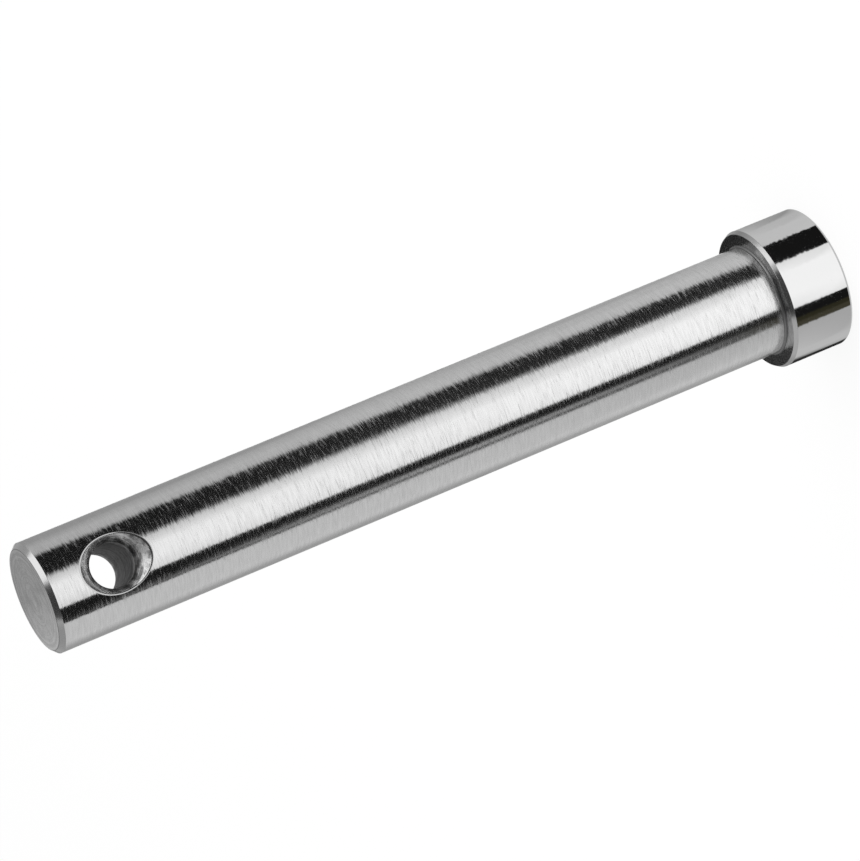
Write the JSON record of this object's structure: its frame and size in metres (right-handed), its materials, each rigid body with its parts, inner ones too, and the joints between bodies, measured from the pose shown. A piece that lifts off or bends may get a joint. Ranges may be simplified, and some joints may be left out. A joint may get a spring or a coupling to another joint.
{
  "type": "pulley shaft",
  "caption": "Headed steel pin that a pulley turns on: a plain round shank with a larger plain head at one end and a countersunk cross hole for a clip near the chamfered free end.",
  "frame": {"origin": "centre of the head's flat outer face, which the pin stands on", "axes": "+Z along the pin's axis, from the head up to the free end; Y along the cross hole; X square to both"},
  "size_m": [0.018, 0.018, 0.1085],
  "materials": {
    "turned_steel": "bright turned steel: shank finished with fine scratches round it, head smoother and glossier, faces and cross hole left as cut"
  },
  "bodies": {
    "root": {"pulley_shaft": "turned_steel"}
  },
  "joints": []
}
